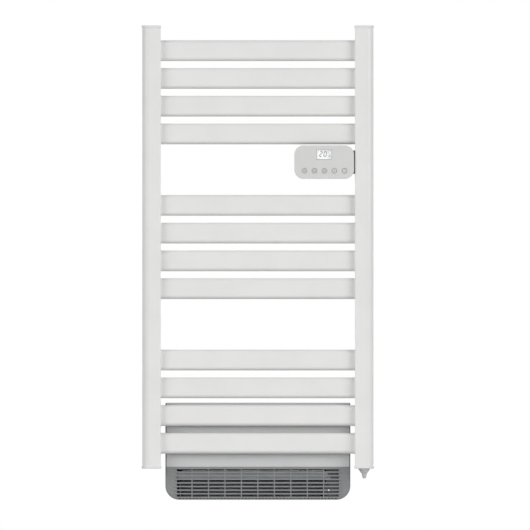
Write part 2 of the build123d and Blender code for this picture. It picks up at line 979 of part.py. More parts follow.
tray_front = panel_back + tray_side_gap
tray_back = case_inner_back - tray_side_gap
tray_right = blower_right + sheet


def dust_filter():
    """Filter tray: a frame round a coarse mesh, with a slot in its end for a finger nail."""
    tray = box((-fan_half, tray_right), (tray_front, tray_back), (tray_bottom, tray_top))
    inside_x = (-fan_half + tray_end_block, tray_right - tray_border)
    inside_y = (tray_front + tray_border, tray_back - tray_border)
    tray -= box(inside_x, inside_y, (tray_bottom + tray_mesh, tray_top))
    cell_x = (inside_x[1] - inside_x[0]) / tray_columns
    cell_y = (inside_y[1] - inside_y[0]) / tray_rows
    hole = Rectangle(cell_x - tray_web, cell_y - tray_web)
    holes = Sketch() + GridLocations(cell_x, cell_y, tray_columns, tray_rows) * hole
    middle = (sum(inside_x) / 2, sum(inside_y) / 2)
    tray -= along_z(holes, (tray_bottom, tray_bottom + tray_mesh), middle[0], middle[1])
    height = (tray_bottom + tray_top) / 2
    return tray - box(
        (-fan_half, -fan_half + nail_slot_depth),
        (middle[1] - nail_slot_length / 2, middle[1] + nail_slot_length / 2),
        (height - nail_slot_height / 2, height + nail_slot_height / 2),
    )


def front_panel():
    """Pale cover behind the two lowest bars, between the cheeks of the case."""
    side = fan_half - case_wall - panel_fit
    panel = box((-side, side), (panel_front, panel_back), (panel_bottom, fan_top))
    panel = fillet(panel.edges().group_by(Axis.Y)[0], panel_edge)
    for x, z in hanger_places():
        hole = Circle(bar_screw_radius + screw_slack)
        panel -= along_y(hole, (panel_front, panel_back), x, z)
    return panel


def slot_row_height(row):
    """Middle of a row of outlet slots, counted from the top."""
    return panel_bottom - slot_first - row * slot_pitch


def outlet_screw_place():
    """Small screw in the middle of a web between two slots, in X and Z."""
    return blower_right + sheet + outlet_screw_x, slot_row_height(outlet_screw_web - 0.5)


def grille_slots():
    """Rows of slots, parted by upright ribs."""
    half = fan_half - slot_margin
    rows = Sketch()
    for row in range(slot_rows):
        z = slot_row_height(row)
        rows += rectangle((-half, half), (z - slot_height / 2, z + slot_height / 2))
    for rib in range(rib_count):
        x = (rib - (rib_count - 1) / 2) * rib_pitch
        rows -= rectangle((x - rib_width / 2, x + rib_width / 2), (fan_bottom, panel_bottom))
    return along_y(rows, (panel_front, panel_front + case_wall))


def slot_run_outs():
    """Shallow ramps that carry each slot out to the face at both ends."""
    half = fan_half - slot_margin
    ramp = make_face(Polyline(
        (half, panel_front),
        (half + slot_run_out, panel_front),
        (half, panel_front + case_wall),
        close=True,
    ))
    cuts = []
    for row in range(slot_rows):
        z = slot_row_height(row)
        wedge = along_z(ramp, (z - slot_height / 2, z + slot_height / 2))
        cuts += [wedge, to_left(wedge)]
    return cuts


def grille_fins():
    """Slots between fins, round the lower edge of the nose."""
    top = slot_row_height(slot_rows) + slot_height / 2
    count = int((2 * (fan_half - case_corner) + fin_slot) / fin_pitch) + 1
    cuts = []
    for number in range(count):
        x = (number - (count - 1) / 2) * fin_pitch
        cuts.append(box(
            (x - fin_slot / 2, x + fin_slot / 2),
            (panel_front, panel_front + fin_depth),
            (fan_bottom, top),
        ))
    return cuts


def outlet_grille():
    """Nose of the unit under the panel, with the outlet slots."""
    nose = along_y(case_outline() & below_panel_edge(), (panel_front, nose_back))
    front_edges = nose.edges().group_by(Axis.Y)[0]
    lower_edges = [edge for edge in front_edges if edge.center().Z < panel_bottom - panel_edge]
    nose = fillet(lower_edges, nose_edge)
    nose -= along_y(case_outline(case_wall), (panel_back, nose_back))
    inner = fan_half - case_wall
    nose += box(
        (-inner, inner), (panel_back, panel_back + nose_rib), (panel_bottom - case_wall, panel_bottom)
    )
    for side in (-1, 1):
        boss = Circle(nose_boss_radius)
        nose += along_y(boss, (panel_back, nose_back), side * nose_boss_x, nose_boss_z)
    cuts = [grille_slots()] + slot_run_outs() + grille_fins()
    for side in (-1, 1):
        pilot = Circle(nose_screw_radius + tip_gap)
        reach = (nose_back - nose_screw_reach, nose_back)
        cuts.append(along_y(pilot, reach, side * nose_boss_x, nose_boss_z))
    hole = Circle(outlet_screw_radius + tip_gap)
    x, z = outlet_screw_place()
    cuts.append(along_y(hole, (panel_front, panel_back), x, z))
    return nose - cuts


# Blower

def blower_scroll():
    """Sheet-metal back and floor of the blower, joined by a quarter round."""
    middle_y = case_inner_back - scroll_radius
    middle_z = fan_floor + scroll_radius
    ring = Circle(scroll_radius) - Circle(scroll_radius - sheet)
    quarter = ring & rectangle((0, scroll_radius), (-scroll_radius, 0))
    profile = Pos(middle_y, middle_z) * quarter
    profile += rectangle((case_inner_back - sheet, case_inner_back), (middle_z, scroll_top))
    profile += rectangle((outlet_front, middle_y), (fan_floor, fan_floor + sheet))
    return along_x(profile, (blower_left, blower_right))


def blower_tongue():
    """Bent sheet over the outlet: upright lip, sloping throat and a return beside the rotor."""
    half = sheet / 2
    axis = Vector(rotor_y, rotor_z)
    beside = Vector(impeller_radius + tongue_gap + half, 0)
    line = Polyline(
        (lip_front + half, lip_top),
        (lip_front + half, lip_bottom + half),
        axis + beside.rotate(Axis.Z, tongue_bend_angle),
        axis + beside.rotate(Axis.Z, tongue_end_angle),
    )
    tongue = along_x(trace(line, sheet), (blower_left, blower_right))
    left_tab = rectangle((blower_left - lip_tab, blower_left), (lip_bottom, lip_top))
    right_tab = make_face(Polyline(
        (blower_right, lip_top),
        (blower_right, lip_bottom),
        (blower_right + tongue_tab, lip_bottom),
        close=True,
    ))
    return tongue + [along_y(tab, (lip_front, outlet_front)) for tab in (left_tab, right_tab)]


def end_plate_outline(front):
    """Side view of the blower's end plates, in Y and Z, from their front edge."""
    outline = rectangle((front, case_inner_back), (fan_floor, scroll_top))
    front_top = outline.vertices().group_by(Axis.Y)[-1].sort_by(Axis.X)[0]
    outline = fillet(front_top, scroll_corner)
    return outline - Pos(rotor_y, rotor_z) * Circle(bush_radius + bush_fit)


def blower_end_left():
    front = panel_front + left_plate_set_back
    return along_x(end_plate_outline(front), (blower_left - sheet, blower_left))


def motor_boss_places():
    """Feet of the motor on the right end plate, in Y and Z."""
    z = rotor_z - motor_boss_drop
    return [(rotor_y - motor_boss_y, z), (rotor_y + motor_boss_y, z)]


def blower_end_right():
    """Right end plate, with the motor's feet and a flange beside the outlet."""
    outer_face = blower_right + sheet
    flange_depth = (outlet_front, outlet_front + sheet)
    flange_top = panel_bottom - outlet_flange_drop
    plate = along_x(end_plate_outline(outlet_front), (blower_right, outer_face))
    plate += box(
        (blower_right, outer_face + outlet_flange_width),
        flange_depth,
        (flange_top - outlet_flange_height, flange_top),
    )
    x, z = outlet_screw_place()
    plate -= along_y(Circle(outlet_screw_radius + tip_gap), flange_depth, x, z)
    for y, z in motor_boss_places():
        plate += along_x(Circle(motor_boss_radius), (outer_face, stator_left), y, z)
        plate -= along_x(Circle(motor_screw_radius + tip_gap), (blower_right, stator_left), y, z)
    return plate


def blade():
    """Section of one curved blade near the rim of the impeller."""
    reach = impeller_radius - impeller_bore
    inner = Vector(impeller_bore + blade_thickness / 2, 0)
    outer = Vector(impeller_radius - blade_thickness / 2, 0).rotate(Axis.Z, blade_sweep)
    across = (outer - inner).normalized().rotate(Axis.Z, 90)
    middle = (inner + outer) * 0.5 - across * (blade_bow * reach / impeller_bore * 3)
    return trace(ThreePointArc(inner, middle, outer), blade_thickness)


def impeller():
    """Cage of curved blades on discs, with a hub at each end for the shaft."""
    left = blower_left + impeller_end_gap
    right = blower_right - impeller_end_gap
    blades = Sketch() + PolarLocations(0, impeller_blades) * blade()
    cage = along_x(blades, (left, right), rotor_y, rotor_z)
    rings = []
    cell = (right - left - impeller_disc) / impeller_cells
    for number in range(impeller_cells + 1):
        x = left + number * cell
        at_end = number in (0, impeller_cells)
        hole = hub_bore if at_end else impeller_bore
        disc = Circle(impeller_radius) - Circle(hole)
        rings.append(along_x(disc, (x, x + impeller_disc), rotor_y, rotor_z))
    hub = Circle(hub_radius) - Circle(hub_bore)
    inner_left = left + impeller_disc
    inner_right = right - impeller_disc
    rings.append(along_x(hub, (inner_left, inner_left + hub_length), rotor_y, rotor_z))
    rings.append(along_x(hub, (inner_right - hub_length, inner_right), rotor_y, rotor_z))
    return cage + rings


def fan_shaft():
    left = blower_left - sheet - bush_flange - shaft_overhang
    right = stator_right + shaft_overhang
    return along_x(Circle(shaft_radius), (left, right), rotor_y, rotor_z)


def fan_bush():
    """Right bush: its flange lies on the outer face of the end plate."""
    face = blower_right + sheet
    sleeve = along_x(Circle(bush_radius), (face - bush_length / 2, face + bush_length / 2))
    bush = sleeve + along_x(Circle(bush_flange_radius), (face, face + bush_flange))
    bore = along_x(Circle(bush_bore), (face - bush_length, face + bush_length))
    return Pos(0, rotor_y, rotor_z) * (bush - bore)


def fan_bushes():
    """Both bushes, mirrored about the middle of the blower."""
    middle = (blower_left + blower_right) / 2
    right = fan_bush()
    return group((right, mirror(right, about=Plane.YZ.offset(middle))))


# Motor

def motor_stator():
    """Laminated frame round the rotor, with the coil's window above it."""
    window_bottom = stator_above - stator_limb - stator_window_height
    frame = rectangle((-stator_half_depth, stator_half_depth), (-stator_below, stator_above))
    frame -= rectangle(
        (-stator_window_depth / 2, stator_window_depth / 2),
        (window_bottom, window_bottom + stator_window_height),
    )
    frame -= Circle(motor_rotor_radius + motor_air_gap)
    for side in (-1, 1):
        hole = Circle(motor_screw_radius + screw_slack)
        frame -= Pos(side * motor_boss_y, -motor_boss_drop) * hole
    return along_x(frame, (stator_left, stator_right), rotor_y, rotor_z)


def motor_rotor():
    middle = (stator_left + stator_right) / 2
    span = (middle - motor_rotor_length / 2, middle + motor_rotor_length / 2)
    return along_x(Circle(motor_rotor_radius) - Circle(hub_bore), span, rotor_y, rotor_z)


def motor_coil():
    """Winding on its bobbin, round the upper limb of the stator."""
    bottom = rotor_z + stator_above - stator_limb
    limb = (bottom - coil_fit, rotor_z + stator_above + coil_fit)
    half = stator_window_depth / 2 - coil_side_gap
    across = (rotor_y - half, rotor_y + half)
    outside = box(
        (stator_left - coil_overhang, stator_right + coil_overhang),
        across,
        (limb[0] - coil_thickness, limb[1] + coil_thickness),
    )
    outside = fillet(outside.edges().filter_by(Axis.Y), coil_edge)
    return outside - box((stator_left - coil_fit, stator_right + coil_fit), across, limb)


# Outlet

def heating_element():
    """Fin block across the outlet, between the end plates."""
    front = outlet_front + element_set_back
    left = blower_left + element_end_fit
    right = blower_right - element_end_fit
    bottom = fan_floor + sheet
    grid = rectangle((left, right), (bottom, bottom + element_height))
    count = int((right - left - element_border) / element_fin_pitch)
    cell = (element_height - 3 * element_border) / 2
    window = Rectangle(element_fin_pitch - element_fin, cell)
    places = GridLocations(element_fin_pitch, cell + element_border, count, 2)
    middle = Pos((left + right) / 2, bottom + element_height / 2)
    grid -= middle * (Sketch() + places * window)
    return along_y(grid, (front, front + element_depth))


def thermal_cutout():
    """Round cut-out clipped to the back of the tongue's lip."""
    span = (outlet_front, outlet_front + cutout_depth)
    return along_y(Circle(cutout_radius), span, cutout_x, lip_top - cutout_drop)


# Fixings of the fan unit

def bar_spacers():
    ring = Circle(spacer_radius) - Circle(bar_screw_radius + screw_slack)
    return group(along_y(ring, (bar_back, panel_front), x, z) for x, z in hanger_places())


def bar_screws():
    seat = panel_back + lug_thickness
    head = (bar_head_radius, bar_head_height)
    reach = seat - bar_back + bar_screw_reach
    return group(
        screw((x, seat, z), backward, *head, bar_screw_radius, reach) for x, z in hanger_places()
    )


def fan_screws():
    """Two motor screws, two nose screws and the small screw in the grille."""
    pieces = []
    head = (motor_head_radius, motor_head_height)
    for y, z in motor_boss_places():
        reach = stator_length + motor_screw_reach
        pieces.append(screw((stator_right, y, z), rightward, *head, motor_screw_radius, reach))
    head = (nose_head_radius, nose_head_height)
    for side in (-1, 1):
        seat = (side * nose_boss_x, nose_back + case_boss_web, nose_boss_z)
        reach = case_boss_web + nose_screw_reach
        pieces.append(screw(seat, backward, *head, nose_screw_radius, reach))
    head = (outlet_head_radius, outlet_head_height)
    x, z = outlet_screw_place()
    seat = (x, panel_front, z)
    reach = outlet_front + sheet - panel_front
    pieces.append(screw(seat, forward, *head, outlet_screw_radius, reach))
    return group(pieces)


def fan_lead():
    """From the terminal block down the right post and across to the motor's coil."""
    down = post_inner + fan_lead_inset
    low = bar_middle(bar_count)
    points = (
        (terminal_right, bar_mid, control_z),
        (down, bar_mid, control_z),
        (down, bar_mid, low),
        (down, rotor_y, low),
        (stator_right + coil_overhang, rotor_y, low),
    )
    return tube_along(points, fan_lead_radius, fan_lead_bend)


def all_parts():
    parts = {"left_post": to_left(plain_post()), "right_post": right_post()}
    for number in range(1, bar_count + 1):
        parts[f"bar_{number:02d}"] = bar(number)
    parts["top_cap_left"] = to_left(top_cap())
    parts["top_cap_right"] = top_cap()
    parts["bottom_cap_left"] = to_left(bottom_cap())
    parts["bottom_cap_right"] = bottom_cap_right()
    parts["gland_body"] = gland_body()
    parts["gland_locknut"] = gland_locknut()
    parts["gland_dome_nut"] = gland_dome_nut()
    parts["gland_seal"] = gland_seal()
    parts["heating_cables"] = heating_cables()
    parts["wall_feet"] = group(wall_foot(x, z) for x, z in fixing_places())
    parts["wall_stems"] = group(wall_stem(x, z) for x, z in fixing_places())
    parts["bracket_screws"] = bracket_screws()
    parts["control_face"] = control_face()
    parts["control_housing"] = control_housing()
    parts["display_window"] = display_window()
    parts["display_module"] = display_module()
    parts["control_board"] = control_board()
    parts["key_switches"] = key_switches()
    for name, x in zip(key_names, key_places()):
        parts[name] = key(x)
    parts["board_components"] = board_components()
    parts["control_neck"] = control_neck()
    parts["control_screws"] = control_screws()
    parts["fan_case"] = fan_case()
    parts["front_panel"] = front_panel()
    parts["outlet_grille"] = outlet_grille()
    parts["dust_filter"] = dust_filter()
    parts["blower_scroll"] = blower_scroll()
    parts["blower_tongue"] = blower_tongue()
    parts["blower_end_left"] = blower_end_left()
    parts["blower_end_right"] = blower_end_right()
    parts["impeller"] = impeller()
    parts["fan_shaft"] = fan_shaft()
    parts["fan_bushes"] = fan_bushes()
    parts["motor_stator"] = motor_stator()
    parts["motor_rotor"] = motor_rotor()
    parts["motor_coil"] = motor_coil()
    parts["heating_element"] = heating_element()
    parts["thermal_cutout"] = thermal_cutout()
    parts["bar_spacers"] = bar_spacers()
    parts["bar_screws"] = bar_screws()
    parts["fan_screws"] = fan_screws()
    parts["fan_lead"] = fan_lead()
    return parts


os.makedirs("parts", exist_ok=True)
for name, piece in all_parts().items():
    export_step(piece, f"parts/{name}.step")
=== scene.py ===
import math

import bmesh
import bpy
from bpy.props import (
    FloatProperty, FloatVectorProperty, IntProperty, PointerProperty, StringProperty,
)
from mathutils import Matrix, Vector


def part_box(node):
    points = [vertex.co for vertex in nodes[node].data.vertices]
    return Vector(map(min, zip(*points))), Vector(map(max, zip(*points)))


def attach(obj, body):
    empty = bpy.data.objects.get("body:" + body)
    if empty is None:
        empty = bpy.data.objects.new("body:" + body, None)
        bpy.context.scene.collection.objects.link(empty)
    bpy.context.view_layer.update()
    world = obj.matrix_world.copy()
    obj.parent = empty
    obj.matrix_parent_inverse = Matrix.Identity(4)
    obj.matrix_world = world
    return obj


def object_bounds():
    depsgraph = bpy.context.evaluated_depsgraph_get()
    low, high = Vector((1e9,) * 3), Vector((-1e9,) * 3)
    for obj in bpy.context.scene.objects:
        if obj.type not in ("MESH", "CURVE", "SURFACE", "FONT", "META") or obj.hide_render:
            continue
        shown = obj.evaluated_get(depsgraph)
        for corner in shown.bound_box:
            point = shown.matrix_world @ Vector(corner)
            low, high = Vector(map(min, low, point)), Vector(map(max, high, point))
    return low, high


bl_info = {
    "name": "Fan towel warmer",
    "version": (1, 0, 0),
    "blender": (4, 5, 0),
    "location": "3D View > Sidebar > Towel Warmer",
    "description": "Finishes and small details of a towel rail with a fan heater",
    "category": "Object",
}

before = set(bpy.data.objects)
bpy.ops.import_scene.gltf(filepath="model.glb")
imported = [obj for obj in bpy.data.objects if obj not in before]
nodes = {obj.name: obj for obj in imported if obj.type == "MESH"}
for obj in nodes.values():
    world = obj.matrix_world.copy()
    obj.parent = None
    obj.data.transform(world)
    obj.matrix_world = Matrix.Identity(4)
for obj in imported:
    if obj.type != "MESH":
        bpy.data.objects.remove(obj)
cad_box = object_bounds()
bar_names = [name for name in nodes if name.startswith("bar_") and name[4:].isdigit()]

MM = 0.001


# Colours and nodes

def linear(code):
    """An sRGB hex code as a linear colour with full alpha."""
    channels = [int(code[i:i + 2], 16) / 255 for i in (1, 3, 5)]
    return [c / 12.92 if c <= 0.04045 else ((c + 0.055) / 1.055) ** 2.4 for c in channels] + [1.0]


def add_node(tree, kind, inputs=None, **settings):
    """One node with its settings; each input takes a value or a socket to link from."""
    node = tree.nodes.new(kind)
    for name, value in settings.items():
        setattr(node, name, value)
    for name, value in (inputs or {}).items():
        socket = node.inputs[name]
        if isinstance(value, bpy.types.NodeSocket):
            tree.links.new(value, socket)
        else:
            socket.default_value = value
    return node


def seen_directly(tree):
    """1 for camera, glossy and transmission rays, and 0 for the rest."""
    rays = add_node(tree, "ShaderNodeLightPath").outputs
    seen = add_node(tree, "ShaderNodeMath", {0: rays["Is Camera Ray"], 1: rays["Is Glossy Ray"]},
                    operation="MAXIMUM").outputs[0]
    return add_node(tree, "ShaderNodeMath", {0: seen, 1: rays["Is Transmission Ray"]},
                    operation="MAXIMUM").outputs[0]


def per_metre(size_mm):
    """Texture scale whose features come out about this large."""
    return 1000 / size_mm


def wave_scale(pitch_mm):
    """Scale of a wave texture whose lines are this far apart; it draws 20 waves per 2 pi."""
    return per_metre(pitch_mm) * 2 * math.pi / 20


class Finish:
    """A material on Object coordinates, with its shader at hand."""

    def __init__(self, name):
        self.material = bpy.data.materials.new(name)
        self.material.use_nodes = True
        self.tree = self.material.node_tree
        self.shader = self.tree.nodes["Principled BSDF"]
        self.place = add_node(self.tree, "ShaderNodeTexCoord").outputs["Object"]

    def set(self, **values):
        """Fixed values on the shader's own sockets, such as coat_weight or ior."""
        for name, value in values.items():
            socket = name.replace("_", " ").title().replace("Ior", "IOR")
            self.shader.inputs[socket].default_value = value

    def noise(self, size_mm, detail=2.0, roughness=0.5, stretch=(1, 1, 1)):
        """Noise whose features are about this large, stretched along an axis if asked."""
        place = add_node(self.tree, "ShaderNodeMapping", {"Vector": self.place, "Scale": stretch})
        return add_node(self.tree, "ShaderNodeTexNoise", {
            "Vector": place.outputs[0], "Scale": per_metre(size_mm),
            "Detail": detail, "Roughness": roughness,
        }).outputs["Fac"]

    def spread(self, value, low, high, start=0.35, end=0.65):
        """A pattern's value brought between two numbers."""
        return add_node(self.tree, "ShaderNodeMapRange", {
            "Value": value, "From Min": start, "From Max": end, "To Min": low, "To Max": high,
        }).outputs["Result"]

    def tint(self, first, second, share):
        """Two colours mixed by a pattern, as the base colour."""
        mix = add_node(self.tree, "ShaderNodeMix", {"Factor": share}, data_type="RGBA")
        mix.inputs["A"].default_value = linear(first)
        mix.inputs["B"].default_value = linear(second)
        self.tree.links.new(mix.outputs["Result"], self.shader.inputs["Base Color"])

    def rough(self, share, low, high):
        """Roughness that a pattern moves between two numbers."""
        self.tree.links.new(self.spread(share, low, high), self.shader.inputs["Roughness"])

    def relief(self, height, depth_mm, under=None):
        """Bump of this depth, over an earlier one if given."""
        inputs = {"Height": height, "Distance": depth_mm * MM, "Strength": 1.0}
        if under:
            inputs["Normal"] = under.outputs["Normal"]
        bump = add_node(self.tree, "ShaderNodeBump", inputs)
        self.tree.links.new(bump.outputs["Normal"], self.shader.inputs["Normal"])
        return bump


# Materials

def powder_coat():
    """White polyester powder coat on steel: a satin skin with a faint orange peel."""
    paint = Finish("powder_coated_steel")
    colours = bpy.context.scene.warmer_rail
    paint.set(ior=1.5, coat_weight=0.15, coat_roughness=0.22)
    paint.tint(colours.paint, colours.paint_shade, paint.spread(paint.noise(70.0, 3.0), 0, 1))
    paint.rough(paint.noise(9.0, 3.0), 0.33, 0.40)
    # Orange peel waves are 1 to 3 mm long and a few microns deep
    peel = paint.relief(paint.noise(colours.peel / MM, 1.5), 0.02)
    paint.relief(paint.noise(0.4, 1.0), 0.003, peel)
    return paint.material


def moulded_plastic(name, colour, shade, grain_mm, depth_mm, roughness):
    """Injection-moulded plastic: even colour, and the spark-eroded grain of its tool."""
    plastic = Finish(name)
    plastic.set(ior=1.53)
    plastic.tint(colour, shade, plastic.spread(plastic.noise(30.0, 4.0), 0, 1, 0.2, 0.8))
    plastic.rough(plastic.noise(6.0, 4.0), roughness - 0.04, roughness + 0.04)
    grain = plastic.relief(plastic.noise(grain_mm, 3.0, 0.6), depth_mm)
    # Slight sink marks make a long face gently uneven
    plastic.relief(plastic.noise(60.0, 1.0), 0.03, grain)
    return plastic.material


def white_abs():
    """White ABS of the end caps, from a polished tool: smoother than the paint."""
    colours = bpy.context.scene.warmer_rail
    return moulded_plastic("white_moulded_abs", colours.cap, colours.cap_shade, 0.5, 0.002, 0.34)


def gland_polyamide():
    """Light grey polyamide of the cable gland, a little waxy."""
    colours = bpy.context.scene.warmer_rail
    return moulded_plastic("gland_polyamide", colours.gland, colours.gland_shade, 0.4, 0.004, 0.38)


def face_abs():
    """Light grey ABS of the control box's face, with a very fine grain."""
    colours = bpy.context.scene.warmer_control
    return moulded_plastic("control_face_abs", colours.face, colours.face_shade, 0.35, 0.006, 0.45)


def key_abs():
    """Key caps from the same resin as the face, a little glossier where fingers touch."""
    colours = bpy.context.scene.warmer_control
    return moulded_plastic("key_cap_abs", colours.key, colours.face_shade, 0.4, 0.002, 0.32)


def panel_abs():
    """Pale grey ABS of the front panel, with a matt grain."""
    colours = bpy.context.scene.warmer_fan
    return moulded_plastic("front_panel_abs", colours.panel, colours.panel_shade, 0.7, 0.018, 0.52)


def case_abs():
    """Mid grey ABS of the case and grille, with a coarser leather-like spark grain."""
    colours = bpy.context.scene.warmer_fan
    return moulded_plastic("fan_case_abs", colours.case, colours.case_shade, 0.8, 0.025, 0.50)


def housing_abs():
    """Mid grey ABS of the control box's rear shell and neck."""
    colours = bpy.context.scene.warmer_control
    return moulded_plastic("control_housing_abs", colours.housing, colours.housing_shade,
                           0.7, 0.02, 0.5)


def black_nylon():
    """Black glass-filled nylon: matt, with a dry mottled skin."""
    nylon = Finish("black_nylon")
    nylon.set(ior=1.53)
    nylon.tint("#1B1C1D", "#232425", nylon.spread(nylon.noise(3.0, 4.0), 0, 1))
    nylon.rough(nylon.noise(2.0, 3.0), 0.48, 0.62)
    nylon.relief(nylon.noise(0.5, 3.0), 0.01)
    return nylon.material


def seal_rubber():
    """Light grey thermoplastic rubber: very matt, faintly dusty."""
    rubber = Finish("gland_rubber")
    rubber.set(ior=1.5, sheen_weight=0.1, sheen_roughness=0.5)
    rubber.tint("#BEBFBE", "#B2B3B2", rubber.spread(rubber.noise(4.0, 4.0), 0, 1))
    rubber.rough(rubber.noise(2.0, 3.0), 0.6, 0.75)
    rubber.relief(rubber.noise(0.4, 2.0), 0.008)
    return rubber.material


def zinc_plate():
    """Zinc plate on small screws: bluish grey, dulled to a soft satin."""
    zinc = Finish("zinc_plated_steel")
    zinc.set(metallic=1.0)
    zinc.tint("#B9BBBD", "#A6A9AC", zinc.spread(zinc.noise(1.5, 3.0), 0, 1))
    zinc.rough(zinc.noise(0.8, 3.0), 0.32, 0.48)
    zinc.relief(zinc.noise(0.3, 2.0), 0.003)
    return zinc.material


def galvanised_sheet():
    """Galvanised sheet: dull dark grey spangles about 9 mm across, each of its own tone."""
    sheet = Finish("galvanised_sheet")
    sheet.set(metallic=1.0)
    spangle = add_node(sheet.tree, "ShaderNodeTexVoronoi", {
        "Vector": sheet.place, "Scale": per_metre(9.0), "Randomness": 1.0,
    }, feature="F1").outputs["Color"]
    tone = add_node(sheet.tree, "ShaderNodeSeparateColor", {"Color": spangle}).outputs["Red"]
    # The dark grey is painted shade: the tone the sheet shows deep inside the outlet
    sheet.tint("#676A6C", "#75777A", tone)
    sheet.tree.links.new(sheet.spread(tone, 0.34, 0.52, 0, 1), sheet.shader.inputs["Roughness"])
    sheet.relief(sheet.noise(1.2, 3.0), 0.006)
    return sheet.material


def phosphated_sheet():
    """Phosphated sheet steel: dark grey, with a fine crystalline mottle."""
    sheet = Finish("phosphated_sheet")
    sheet.set(metallic=0.5)
    sheet.tint("#4E4F51", "#5C5D5F", sheet.spread(sheet.noise(2.5, 4.0), 0, 1))
    sheet.rough(sheet.noise(1.2, 3.0), 0.48, 0.62)
    sheet.relief(sheet.noise(0.4, 3.0), 0.005)
    return sheet.material


def ground_steel():
    """Centreless-ground shaft steel: fine rings round the shaft."""
    steel = Finish("ground_shaft_steel")
    steel.set(metallic=1.0)
    steel.tint("#BDBEC0", "#A9ABAD", steel.spread(steel.noise(6.0, 2.0), 0, 1))
    steel.rough(steel.noise(3.0, 2.0), 0.16, 0.26)
    # Grinding marks are drawn at 0.2 mm, because the real ones are too fine to see
    steel.relief(steel.noise(0.2, 2.0, stretch=(1, 0.05, 0.05)), 0.002)
    return steel.material


def rolled_aluminium():
    """Plain rolled aluminium of the impeller's blades: dull grey, with faint rolling lines."""
    metal = Finish("rolled_aluminium")
    metal.set(metallic=1.0)
    metal.tint("#9C9EA0", "#8E9193", metal.spread(metal.noise(12.0, 3.0), 0, 1))
    metal.rough(metal.noise(4.0, 2.0, stretch=(0.1, 1, 1)), 0.30, 0.42)
    metal.relief(metal.noise(0.5, 2.0, stretch=(0.05, 1, 1)), 0.004)
    return metal.material


def coated_fins():
    """Aluminium fins under a thin grey heat-proof coat, paler where it is thin."""
    coat = Finish("coated_aluminium_fins")
    coat.set(ior=1.5)
    coat.tint("#8A8C8E", "#97999B", coat.spread(coat.noise(8.0, 4.0), 0, 1))
    coat.rough(coat.noise(3.0, 3.0), 0.42, 0.58)
    coat.relief(coat.noise(0.5, 2.0, stretch=(0.1, 1, 1)), 0.006)
    return coat.material


def laminated_steel():
    """Stack of 0.5 mm motor laminations, varnished: edges show as fine dark lines."""
    stack = Finish("motor_laminations")
    stack.set(metallic=0.85, roughness=0.45)
    lines = add_node(stack.tree, "ShaderNodeTexWave", {
        "Vector": stack.place, "Scale": wave_scale(0.5),
        "Distortion": 0.2, "Detail": 1.0,
    }, bands_direction="X").outputs["Fac"]
    stack.tint("#4B4C4E", "#7C7E80", lines)
    stack.relief(lines, 0.06)
    return stack.material


def enamelled_copper():
    """Copper wire under clear enamel: turns 0.4 mm apart, reddish with small gloss."""
    copper = Finish("enamelled_copper")
    copper.set(metallic=0.9, roughness=0.32, coat_weight=0.5, coat_roughness=0.15)
    turns = add_node(copper.tree, "ShaderNodeTexWave", {
        "Vector": copper.place, "Scale": wave_scale(0.4),
        "Distortion": 0.4, "Detail": 1.0,
    }, bands_direction="Y").outputs["Fac"]
    copper.tint("#7A3B1E", "#B9683A", turns)
    copper.relief(turns, 0.1)
    return copper.material


def sintered_bronze():
    """Porous sintered bronze, dark with oil: pores a few tenths of a millimetre apart."""
    bronze = Finish("sintered_bronze")
    bronze.set(metallic=1.0)
    bronze.tint("#8A6A3E", "#A4804E", bronze.spread(bronze.noise(2.0, 3.0), 0, 1))
    bronze.rough(bronze.noise(0.8, 3.0), 0.38, 0.52)
    bronze.relief(bronze.noise(0.3, 2.0), 0.02)
    return bronze.material


def circuit_board():
    """Fibreglass board under green solder mask, with its copper tracks showing as ridges."""
    board = Finish("solder_masked_board")
    board.set(ior=1.5, coat_weight=0.3, coat_roughness=0.2)
    tracks = add_node(board.tree, "ShaderNodeTexBrick", {
        "Vector": board.place, "Scale": per_metre(40.0), "Mortar Size": 0.012,
        "Mortar Smooth": 0.2, "Brick Width": 0.35, "Row Height": 0.12,
    }).outputs["Fac"]
    board.tint("#1E5A38", "#2B7A4C", tracks)
    board.rough(board.noise(3.0, 3.0), 0.30, 0.42)
    board.relief(tracks, 0.03)
    return board.material


def silicone_sheath():
    """Grey silicone cable sheath: soft, matt, with faint draw lines."""
    sheath = Finish("silicone_sheath")
    sheath.set(ior=1.43, sheen_weight=0.15, sheen_roughness=0.4)
    sheath.tint("#8C8D8D", "#7E7F7F", sheath.spread(sheath.noise(5.0, 3.0), 0, 1))
    sheath.rough(sheath.noise(3.0, 3.0), 0.5, 0.65)
    sheath.relief(sheath.noise(0.6, 2.0), 0.01)
    return sheath.material


def clear_window():
    """Clear acrylic window: thin enough that light goes straight through it."""
    window = Finish("clear_acrylic")
    window.set(base_color=linear("#F4F7F7"), roughness=0.06, ior=1.49, alpha=0.14)
    window.relief(window.noise(25.0, 1.0), 0.02)
    return window.material


def display_glass():
    """Backlit display: an even pale glow, a little greyer towards its right side."""
    display = Finish("display_face")
    display.set(ior=1.5, roughness=0.4, emission_strength=0.22, emission_color=linear("#F2F6F6"))
    place = add_node(display.tree, "ShaderNodeSeparateXYZ", {"Vector": display.place}).outputs["X"]
    low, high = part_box("display_window")
    across = display.spread(place, 0, 1, low.x, high.x)
    display.tint("#FBFCFC", "#D9DCDC", across)
    display.relief(display.noise(0.6, 1.0), 0.004)
    return display.material


def ink_and_shade_paint(name, code, shade):
    """Pad-printed ink, also used for painted shadow: thin, matt, slightly uneven in its cover."""
    ink = Finish(name)
    ink.set(ior=1.5)
    ink.tint(code, shade, ink.spread(ink.noise(0.9, 3.0), 0, 1))
    ink.rough(ink.noise(0.5, 2.0), 0.5, 0.6)
    ink.relief(ink.noise(0.3, 2.0), 0.002)
    return ink.material


